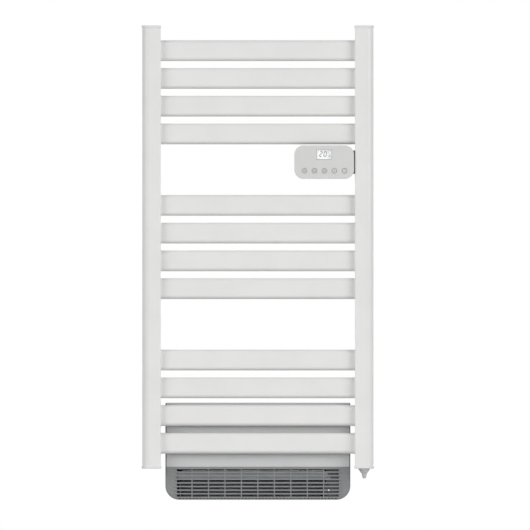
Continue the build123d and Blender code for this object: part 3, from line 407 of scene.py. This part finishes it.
def studio_floor(glow):
    """Pale floor that reads white to the camera and keeps the object's shadow."""
    floor = Finish("studio_floor")
    floor.set(base_color=linear("#DADADA"), emission_color=linear("#FFFFFF"))
    floor.rough(floor.noise(300.0, 2.0), 0.85, 0.95)
    strength = add_node(floor.tree, "ShaderNodeMath", {0: seen_directly(floor.tree), 1: glow},
                        operation="MULTIPLY").outputs[0]
    floor.tree.links.new(strength, floor.shader.inputs["Emission Strength"])
    return floor.material


# Finishing the fixed pieces and adding new ones

def dress(material, *names):
    """Gives a material to pieces of the frame."""
    for name in names:
        piece = nodes[name]
        piece.data.materials.clear()
        piece.data.materials.append(material)


def finish_piece(mesh, name, material, body, angle=30.0):
    """Turns a finished bmesh into a piece that rides on a body."""
    bmesh.ops.recalc_face_normals(mesh, faces=mesh.faces)
    data = bpy.data.meshes.new(name)
    mesh.to_mesh(data)
    mesh.free()
    data.shade_smooth()
    data.set_sharp_from_angle(angle=math.radians(angle))
    data.materials.append(material)
    piece = bpy.data.objects.new(name, data)
    bpy.context.scene.collection.objects.link(piece)
    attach(piece, body)


def facing_front(centre, turn=0.0):
    """Places a flat shape that was drawn in X and Y so that it faces the front."""
    upright = Matrix.Rotation(math.radians(90), 4, "X")
    return Matrix.Translation(centre) @ upright @ Matrix.Rotation(turn, 4, "Z")


def add_ring(mesh, centre, radius, width, gap=0.0, segments=48):
    """Flat ring that faces the front; a gap, in radians, is left open at its top."""
    rims = []
    for r in (radius - width / 2, radius + width / 2):
        made = bmesh.ops.create_circle(mesh, segments=segments, radius=r,
                                       matrix=facing_front(centre))
        rims += made["verts"]
    edges = list({e for v in rims for e in v.link_edges})
    faces = bmesh.ops.bridge_loops(mesh, edges=edges)["faces"]
    if gap:
        def in_gap(face):
            way = face.calc_center_median() - centre
            return abs(math.atan2(way.x, way.z)) < gap / 2
        bmesh.ops.delete(mesh, geom=[f for f in faces if in_gap(f)], context="FACES")


def add_stroke(mesh, centre, start, end, width, segments=12):
    """Flat stroke with round ends between two places given in X and Z from a centre."""
    start, end = Vector((start[0], 0, start[1])), Vector((end[0], 0, end[1]))
    way = end - start
    turn = math.atan2(way.z, way.x)
    middle = centre + (start + end) / 2
    made = bmesh.ops.create_circle(mesh, cap_ends=True, segments=segments, radius=width / 2)
    verts = made["verts"]
    half_step = Matrix.Rotation(math.pi / segments, 3, "Z")
    bmesh.ops.rotate(mesh, verts=verts, cent=(0, 0, 0), matrix=half_step)
    for side in (-1, 1):
        half = [v for v in verts if v.co.x * side > 0]
        bmesh.ops.translate(mesh, verts=half, vec=(side * way.length / 2, 0, 0))
    bmesh.ops.transform(mesh, verts=verts, matrix=facing_front(middle, turn))


def add_line(mesh, centre, points, width):
    """Flat line of even width, with mitred corners, through places in X and Z from a centre."""
    places = [Vector(point) for point in points]
    ways = [(after - before).normalized() for before, after in zip(places, places[1:])]
    rims = []
    for place, before, after in zip(places, ways[:1] + ways, ways + ways[-1:]):
        across = (before + after).normalized().orthogonal()
        across *= width / 2 / across.dot(before.orthogonal())
        for spot in (place - across, place + across):
            rims.append(mesh.verts.new(centre + Vector((spot.x, 0, spot.y))))
    for n in range(0, len(rims) - 2, 2):
        mesh.faces.new((rims[n], rims[n + 1], rims[n + 3], rims[n + 2]))


def thicken(mesh, depth):
    """Gives flat shapes that face the front a thickness towards the front."""
    made = bmesh.ops.extrude_face_region(mesh, geom=mesh.faces[:])
    verts = [g for g in made["geom"] if isinstance(g, bmesh.types.BMVert)]
    bmesh.ops.translate(mesh, verts=verts, vec=(0, -depth, 0))


# Settings that a user would change

class WarmerRail(bpy.types.PropertyGroup):
    """Sizes and colours of the rail"""
    paint: StringProperty(name="Paint", description="Powder coat, as sRGB hex", default="#E1E1E0")
    paint_shade: StringProperty(name="Paint shade", description="Its darker tone",
                                default="#DEDEDD")
    cap: StringProperty(name="Caps", description="White plastic, as sRGB hex", default="#E0E0DF")
    cap_shade: StringProperty(name="Cap shade", description="Its darker tone", default="#DBDBDA")
    peel: FloatProperty(name="Orange peel", description="Length of the paint's waves",
                        default=1.8 * MM, unit="LENGTH")
    gland: StringProperty(name="Gland", description="Grey plastic, as sRGB hex", default="#C4C5C5")
    gland_shade: StringProperty(name="Gland shade", description="Its darker tone",
                                default="#BEBFBF")
    bead: FloatProperty(name="Weld bead", description="Radius of the fillet at each bar's end",
                        default=1.2 * MM, unit="LENGTH")


class WarmerControl(bpy.types.PropertyGroup):
    """Colours and marks of the control box"""
    face: StringProperty(name="Face", description="Face plate, as sRGB hex", default="#D2D2D1")
    face_shade: StringProperty(name="Face shade", description="Its darker tone", default="#CFCFCE")
    key: StringProperty(name="Keys", description="Key caps, as sRGB hex", default="#D1D1D0")
    # The marks' colour also paints the shadow line under the display window
    mark: StringProperty(name="Marks", description="Printed marks, as sRGB hex", default="#5C5D5D")
    housing: StringProperty(name="Housing", description="Rear shell, as sRGB hex",
                            default="#868788")
    housing_shade: StringProperty(name="Housing shade", description="Its darker tone",
                                  default="#818283")
    ring_width: FloatProperty(name="Ring width", description="Width of the ring on each key",
                              default=0.8 * MM, unit="LENGTH")
    stroke_width: FloatProperty(name="Stroke width", description="Width of the symbols' lines",
                                default=0.7 * MM, unit="LENGTH")
    ink_depth: FloatProperty(name="Ink", description="Thickness of the printed ink",
                             default=0.06 * MM, unit="LENGTH")
    reading: IntProperty(name="Reading", description="Number on the display",
                         default=20, min=0, max=99)
    digit_height: FloatProperty(name="Digit height", description="Height of the display's digits",
                                default=11.2 * MM, unit="LENGTH")
    digit_rise: FloatProperty(name="Digit rise",
                              description="How far the digits stand over the middle",
                              default=1.0 * MM, unit="LENGTH")
    # Painted shadow line under the display window
    painted_window_shadow: FloatProperty(name="Window line",
                               description="Height of the dark line under the window",
                               default=0.55 * MM, unit="LENGTH")


class WarmerFan(bpy.types.PropertyGroup):
    """Colours of the fan unit"""
    panel: StringProperty(name="Panel", description="Front panel, as sRGB hex", default="#C3C4C4")
    panel_shade: StringProperty(name="Panel shade", description="Its darker tone",
                                default="#BFC0C0")
    case: StringProperty(name="Case", description="Case and grille, as sRGB hex", default="#7F8081")
    case_shade: StringProperty(name="Case shade", description="Its darker tone", default="#7B7C7D")


class WarmerStage(bpy.types.PropertyGroup):
    """Camera, floor and lamps"""
    view_width: FloatProperty(name="View width", description="Width seen at the front of the rail",
                              default=1145.3 * MM, unit="LENGTH")
    view_middle: FloatVectorProperty(name="View middle",
                                     description="Place at the middle of the picture",
                                     default=(0.01544, -0.12, -0.08885), subtype="TRANSLATION")
    lens: FloatProperty(name="Lens", description="Focal length in millimetres", default=1500.0)
    floor_drop: FloatProperty(name="Floor drop",
                              description="Room between the object and the floor",
                              default=150 * MM, unit="LENGTH")
    ambient: FloatProperty(name="Ambient", description="Strength of the light from all round",
                           default=0.15)
    back_glow: FloatProperty(name="Back glow",
                             description="Strength of the wide soft light from behind",
                             default=1.0)
    left_power: FloatProperty(name="Left lamp", description="Irradiance it gives, over pi",
                              default=0.496)
    right_power: FloatProperty(name="Right lamp", description="Irradiance it gives, over pi",
                               default=0.608)
    front_power: FloatProperty(name="Front lamp", description="Irradiance it gives, over pi",
                               default=0.092)


GROUPS = {
    "warmer_rail": WarmerRail,
    "warmer_control": WarmerControl,
    "warmer_fan": WarmerFan,
    "warmer_stage": WarmerStage,
}


# Operators

class WARMER_OT_rail(bpy.types.Operator):
    """Paints the posts, the bars and the wall brackets"""
    bl_idname = "warmer.rail"
    bl_label = "Rail"

    def execute(self, context):
        dress(powder_coat(), "left_post", "right_post", "wall_feet", "wall_stems", *bar_names)
        return {"FINISHED"}


class WARMER_OT_welds(bpy.types.Operator):
    """Adds the small weld fillet where each bar meets a post"""
    bl_idname = "warmer.welds"
    bl_label = "Weld fillets"
    segments = 40
    steps = 4
    sunk = 0.1 * MM
    smooth_angle = 50.0

    def execute(self, context):
        mesh = bmesh.new()
        radius = context.scene.warmer_rail.bead
        for name in bar_names:
            low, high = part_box(name)
            for x, side in ((low.x, 1), (high.x, -1)):
                self.add_bead(mesh, low, high, x, side, radius)
        material = nodes[bar_names[0]].data.materials[0]
        finish_piece(mesh, "weld_fillets", material, "root", self.smooth_angle)
        return {"FINISHED"}

    def add_bead(self, mesh, low, high, x, side, radius):
        """One hollow fillet round a bar's end; side points away from the post."""
        profile = [(-self.sunk, -self.sunk)]
        for step in range(self.steps + 1):
            angle = math.radians(90) * step / self.steps
            profile.append((radius * (1 - math.cos(angle)), radius * (1 - math.sin(angle))))
        loops = [self.add_loop(mesh, low, high, out, x + side * away) for out, away in profile]
        for loop, following in zip(loops, loops[1:] + loops[:1]):
            bmesh.ops.bridge_loops(mesh, edges=loop + following)

    def add_loop(self, mesh, low, high, out, x):
        """Flat-oval loop round the bar, this far out from its surface."""
        centre = (low + high) / 2
        half_depth = (high.y - low.y) / 2
        straight = (high.z - low.z) / 2 - half_depth
        half_step = Matrix.Rotation(math.pi / self.segments, 4, "X")
        turn = half_step @ Matrix.Rotation(math.pi / 2, 4, "Y")
        made = bmesh.ops.create_circle(mesh, segments=self.segments, radius=half_depth + out,
                                       matrix=turn)
        for side in (-1, 1):
            half = [v for v in made["verts"] if v.co.z * side > 0]
            bmesh.ops.translate(mesh, verts=half, vec=(0, 0, side * straight))
        bmesh.ops.translate(mesh, verts=made["verts"], vec=(x, centre.y, centre.z))
        return list({e for v in made["verts"] for e in v.link_edges})


class WARMER_OT_caps(bpy.types.Operator):
    """Finishes the end caps and the cable gland"""
    bl_idname = "warmer.caps"
    bl_label = "Caps and gland"

    def execute(self, context):
        dress(white_abs(), "top_cap_left", "top_cap_right", "bottom_cap_left", "bottom_cap_right")
        dress(gland_polyamide(), "gland_body", "gland_dome_nut", "gland_locknut")
        dress(seal_rubber(), "gland_seal")
        return {"FINISHED"}


class WARMER_OT_control_box(bpy.types.Operator):
    """Finishes the control box's shells, window, keys and neck"""
    bl_idname = "warmer.control_box"
    bl_label = "Control box"

    def execute(self, context):
        dress(face_abs(), "control_face")
        dress(key_abs(), "key_power", "key_mode", "key_timer", "key_plus", "key_minus")
        dress(housing_abs(), "control_housing", "control_neck")
        dress(clear_window(), "display_window")
        return {"FINISHED"}


class WARMER_OT_key_marks(bpy.types.Operator):
    """Prints a ring and a plain symbol on each key"""
    bl_idname = "warmer.key_marks"
    bl_label = "Key marks"
    ring_radius = 4.75 * MM
    power_radius = 2.2 * MM
    power_gap = math.radians(80)
    power_stroke = (0.4 * MM, 2.8 * MM)
    clock_radius = 2.6 * MM
    arm = 1.8 * MM
    fine_share = 0.8
    round_segments = 36
    # Places across and up from the key's middle, and the waves' pitch, in millimetres
    wave = ((-0.35, -2.2), (0.35, -0.75), (-0.35, 0.75), (0.35, 2.2))
    wave_pitch = 1.6
    clock_hands = ((0, 1.7), (0, 0), (1.2, -0.5))

    def execute(self, context):
        settings = context.scene.warmer_control
        ink = ink_and_shade_paint("key_ink", settings.mark, settings.mark)
        symbols = {
            "key_power": self.power, "key_mode": self.mode, "key_timer": self.timer,
            "key_plus": self.plus, "key_minus": self.minus,
        }
        for name, draw in symbols.items():
            low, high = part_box(name)
            centre = Vector(((low.x + high.x) / 2, low.y, (low.z + high.z) / 2))
            mesh = bmesh.new()
            add_ring(mesh, centre, self.ring_radius, settings.ring_width)
            draw(mesh, centre, settings.stroke_width)
            thicken(mesh, settings.ink_depth)
            finish_piece(mesh, name.replace("key", "mark"), ink, name + "_body")
        return {"FINISHED"}

    def power(self, mesh, centre, width):
        """Open ring with an upright stroke."""
        add_ring(mesh, centre, self.power_radius, width, self.power_gap, self.round_segments)
        low, high = self.power_stroke
        add_stroke(mesh, centre, (0, low), (0, high), width)

    def mode(self, mesh, centre, width):
        """Three rising waves of warm air."""
        for side in (-1, 0, 1):
            wave = [Vector((side * self.wave_pitch + x, z)) * MM for x, z in self.wave]
            add_line(mesh, centre, wave, width * self.fine_share)

    def timer(self, mesh, centre, width):
        """Clock face with two hands."""
        fine = width * self.fine_share
        add_ring(mesh, centre, self.clock_radius, fine, segments=self.round_segments)
        add_line(mesh, centre, [Vector(place) * MM for place in self.clock_hands], fine)

    def plus(self, mesh, centre, width):
        """Level stroke, with two upright ones that butt against it."""
        self.minus(mesh, centre, width)
        for side in (-1, 1):
            add_line(mesh, centre, ((0, side * width / 2), (0, side * self.arm)), width)

    def minus(self, mesh, centre, width):
        """Level stroke."""
        add_line(mesh, centre, ((-self.arm, 0), (self.arm, 0)), width)


class WARMER_OT_display(bpy.types.Operator):
    """Finishes the display, adds its digits, and paints a shadow line under its window"""
    bl_idname = "warmer.display"
    bl_label = "Display"
    # Segments a to g of a digit, each from one place to another in half widths and half heights
    strokes = {
        "a": ((-1, 1), (1, 1)), "b": ((1, 1), (1, 0)), "c": ((1, 0), (1, -1)),
        "d": ((1, -1), (-1, -1)), "e": ((-1, -1), (-1, 0)), "f": ((-1, 0), (-1, 1)),
        "g": ((-1, 0), (1, 0)),
    }
    digits = (
        "abcdef", "bc", "abged", "abgcd", "fgbc", "afgcd", "afgedc", "abc", "abcdefg", "abfgcd",
    )
    slant = 0.1
    half_width_share = 0.42
    stroke = 1.9 * MM
    joint_gap = 1.45 * MM
    first_left = 9.6 * MM
    digit_step = 9.1 * MM
    # Small ring at the upper right, and three strokes under it that grow to the right
    degree_right = 8.0 * MM
    degree_rise_share = 0.8
    degree_radius = 1.0 * MM
    degree_width = 0.5 * MM
    degree_segments = 24
    level_count = 3
    level_right = 8.6 * MM
    level_step = 2.0 * MM
    level_height = 1.0 * MM
    level_growth = 0.9 * MM
    level_width = 0.9 * MM
    line_drop = 0.15 * MM

    def execute(self, context):
        settings = context.scene.warmer_control
        dress(display_glass(), "display_module")
        low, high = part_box("display_window")
        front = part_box("display_module")[0].y
        mesh = bmesh.new()
        half_height = settings.digit_height / 2
        half_width = half_height * self.half_width_share
        middle_z = (low.z + high.z) / 2 + settings.digit_rise
        for place, digit in enumerate(f"{settings.reading:02d}"):
            x = low.x + self.first_left + place * self.digit_step
            centre = Vector((x, front, middle_z))
            self.add_digit(mesh, centre, int(digit), half_width, half_height)
        rise = half_height * self.degree_rise_share
        degree = Vector((high.x - self.degree_right, front, middle_z + rise))
        add_ring(mesh, degree, self.degree_radius, self.degree_width,
                 segments=self.degree_segments)
        for level in range(self.level_count):
            x = high.x - self.level_right + level * self.level_step
            foot = Vector((x, front, middle_z - half_height))
            height = self.level_height + level * self.level_growth
            add_stroke(mesh, foot, (0, 0), (0, height), self.level_width)
        thicken(mesh, settings.ink_depth)
        segments = ink_and_shade_paint("display_segments", "#242626", "#1F2121")
        finish_piece(mesh, "display_digits", segments, "root")
        self.add_painted_window_shadow(settings, low, high)
        return {"FINISHED"}

    def add_painted_window_shadow(self, settings, low, high):
        """Painted shadow: a dark line on the face along the window's lower edge."""
        face_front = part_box("control_face")[0].y
        mesh = bmesh.new()
        half = settings.painted_window_shadow / 2
        left = Vector((low.x + half, face_front, low.z - self.line_drop - half))
        add_stroke(mesh, left, (0, 0), (high.x - low.x - 2 * half, 0), 2 * half)
        thicken(mesh, settings.ink_depth)
        # Painted shadow, in the marks' dark colour
        ink = ink_and_shade_paint("window_shadow_paint", settings.mark, settings.mark)
        finish_piece(mesh, "painted_window_shadow", ink, "root")

    def add_digit(self, mesh, centre, digit, half_width, half_height):
        """One digit's strokes, with a small gap where they meet."""
        for segment in self.digits[digit]:
            ends = []
            for across, up in self.strokes[segment]:
                x = across * half_width + up * half_height * self.slant
                ends.append(Vector((x, up * half_height)))
            way = (ends[1] - ends[0]).normalized() * self.joint_gap
            add_stroke(mesh, centre, ends[0] + way, ends[1] - way, self.stroke)


class WARMER_OT_electronics(bpy.types.Operator):
    """Finishes what the control box holds, and the leads"""
    bl_idname = "warmer.electronics"
    bl_label = "Electronics and leads"

    def execute(self, context):
        dress(circuit_board(), "control_board")
        dress(black_nylon(), "key_switches", "board_components", "thermal_cutout")
        dress(silicone_sheath(), "heating_cables", "fan_lead")
        return {"FINISHED"}


class WARMER_OT_fan_shell(bpy.types.Operator):
    """Finishes the fan unit's case, panel, grille, filter and spacers"""
    bl_idname = "warmer.fan_shell"
    bl_label = "Fan unit shell"

    def execute(self, context):
        dress(case_abs(), "fan_case", "outlet_grille", "dust_filter", "bar_spacers")
        dress(panel_abs(), "front_panel")
        return {"FINISHED"}


class WARMER_OT_blower(bpy.types.Operator):
    """Finishes the blower, its motor and the heating element"""
    bl_idname = "warmer.blower"
    bl_label = "Blower and motor"

    def execute(self, context):
        dress(galvanised_sheet(), "blower_tongue")
        dress(phosphated_sheet(), "blower_scroll", "blower_end_left", "blower_end_right")
        dress(rolled_aluminium(), "impeller")
        dress(coated_fins(), "heating_element")
        dress(ground_steel(), "fan_shaft")
        dress(laminated_steel(), "motor_stator", "motor_rotor")
        dress(enamelled_copper(), "motor_coil")
        dress(sintered_bronze(), "fan_bushes")
        return {"FINISHED"}


class WARMER_OT_screws(bpy.types.Operator):
    """Finishes the screws"""
    bl_idname = "warmer.screws"
    bl_label = "Screws"

    def execute(self, context):
        dress(zinc_plate(), "bracket_screws", "control_screws", "bar_screws", "fan_screws")
        return {"FINISHED"}


class WARMER_OT_stage(bpy.types.Operator):
    """Sets up the floor, the lamps, the background and the camera"""
    bl_idname = "warmer.stage"
    bl_label = "Stage"
    floor_size = 4.0
    floor_segments = 8
    floor_glow = 0.45
    back_narrowing = 3.0
    camera_sensor = 36.0
    camera_reach = 100.0
    lamp_distance = 8.0
    # Name, azimuth and elevation in degrees, width in metres, and the setting of its power
    lamps = (
        ("left_lamp", -50, 20, 5.0, "left_power"),
        ("right_lamp", 50, 20, 5.0, "right_power"),
        ("front_lamp", 0, 0, 3.0, "front_power"),
    )

    def execute(self, context):
        settings = context.scene.warmer_stage
        self.add_floor(settings)
        self.add_background(context, settings)
        for name, azimuth, elevation, width, power in self.lamps:
            self.add_lamp(name, azimuth, elevation, width, getattr(settings, power))
        self.add_camera(context, settings)
        context.scene.view_settings.view_transform = "Standard"
        return {"FINISHED"}

    def add_floor(self, settings):
        """Floor under the object, low enough to take only a soft shadow."""
        mesh = bmesh.new()
        bmesh.ops.create_grid(mesh, x_segments=self.floor_segments, y_segments=self.floor_segments,
                              size=self.floor_size / 2)
        height = cad_box[0][2] - settings.floor_drop
        bmesh.ops.translate(mesh, verts=mesh.verts, vec=(0, 0, height))
        data = bpy.data.meshes.new("floor")
        mesh.to_mesh(data)
        mesh.free()
        floor = bpy.data.objects.new("floor", data)
        data.materials.append(studio_floor(self.floor_glow))
        bpy.context.scene.collection.objects.link(floor)

    def add_background(self, context, settings):
        """White where it is seen, and else a soft light from all round, more from behind."""
        world = bpy.data.worlds.new("studio_world")
        context.scene.world = world
        world.use_nodes = True
        tree = world.node_tree
        background = tree.nodes["Background"]
        background.inputs["Color"].default_value = linear("#FFFFFF")
        way = add_node(tree, "ShaderNodeTexCoord").outputs["Generated"]
        back = add_node(tree, "ShaderNodeSeparateXYZ", {"Vector": way}).outputs["Y"]
        back = add_node(tree, "ShaderNodeMath", {0: back, 1: 0.0}, operation="MAXIMUM").outputs[0]
        lobe = add_node(tree, "ShaderNodeMath", {0: back, 1: self.back_narrowing},
                        operation="POWER").outputs[0]
        soft = add_node(tree, "ShaderNodeMath", {
            0: lobe, 1: settings.back_glow, 2: settings.ambient,
        }, operation="MULTIPLY_ADD").outputs[0]
        strength = add_node(tree, "ShaderNodeMapRange", {
            "Value": seen_directly(tree), "To Min": soft, "To Max": 1.0,
        }).outputs["Result"]
        tree.links.new(strength, background.inputs["Strength"])

    def add_lamp(self, name, azimuth, elevation, width, irradiance):
        """Square soft box that gives this irradiance, over pi, at the middle of the rail."""
        turn, lift = math.radians(azimuth), math.radians(elevation)
        level = math.cos(lift)
        towards = Vector((math.sin(turn) * level, -math.cos(turn) * level, math.sin(lift)))
        data = bpy.data.lights.new(name, "AREA")
        data.shape = "SQUARE"
        data.size = width
        # A flat lamp of power P gives P / (pi d^2) straight ahead at distance d
        data.energy = irradiance * math.pi * math.pi * self.lamp_distance ** 2
        lamp = bpy.data.objects.new(name, data)
        middle = Vector(bpy.context.scene.warmer_stage.view_middle)
        lamp.matrix_world = Matrix.Translation(middle + towards * self.lamp_distance) \
            @ towards.to_track_quat("Z", "Y").to_matrix().to_4x4()
        bpy.context.scene.collection.objects.link(lamp)

    def add_camera(self, context, settings):
        """Long lens straight in front, as far off as the view's width asks."""
        data = bpy.data.cameras.new("camera")
        data.lens = settings.lens
        data.sensor_width = self.camera_sensor
        data.clip_end = self.camera_reach
        distance = settings.view_width * settings.lens / self.camera_sensor
        camera = bpy.data.objects.new("camera", data)
        middle = Vector(settings.view_middle)
        camera.location = middle - Vector((0, distance, 0))
        camera.rotation_euler = (math.radians(90), 0, 0)
        context.scene.collection.objects.link(camera)
        context.scene.camera = camera


OPERATORS = (
    WARMER_OT_rail, WARMER_OT_welds, WARMER_OT_caps, WARMER_OT_control_box, WARMER_OT_key_marks,
    WARMER_OT_display, WARMER_OT_electronics, WARMER_OT_fan_shell, WARMER_OT_blower,
    WARMER_OT_screws, WARMER_OT_stage,
)


class WARMER_PT_panel(bpy.types.Panel):
    """Lists the steps and their settings"""
    bl_idname = "WARMER_PT_panel"
    bl_label = "Fan towel warmer"
    bl_space_type = "VIEW_3D"
    bl_region_type = "UI"
    bl_category = "Towel Warmer"

    def draw(self, context):
        for name, group in GROUPS.items():
            for field in group.__annotations__:
                self.layout.prop(getattr(context.scene, name), field)
        for operator in OPERATORS:
            self.layout.operator(operator.bl_idname)


def register():
    for group in GROUPS.values():
        bpy.utils.register_class(group)
    for name, group in GROUPS.items():
        setattr(bpy.types.Scene, name, PointerProperty(type=group))
    for part in OPERATORS + (WARMER_PT_panel,):
        bpy.utils.register_class(part)


def unregister():
    for part in reversed(OPERATORS + (WARMER_PT_panel,)):
        bpy.utils.unregister_class(part)
    for name, group in GROUPS.items():
        delattr(bpy.types.Scene, name)
        bpy.utils.unregister_class(group)


def main():
    register()
    for operator in OPERATORS:
        area, name = operator.bl_idname.split(".")
        getattr(getattr(bpy.ops, area), name)()
    bpy.context.view_layer.update()


if __name__ == "__main__":
    main()
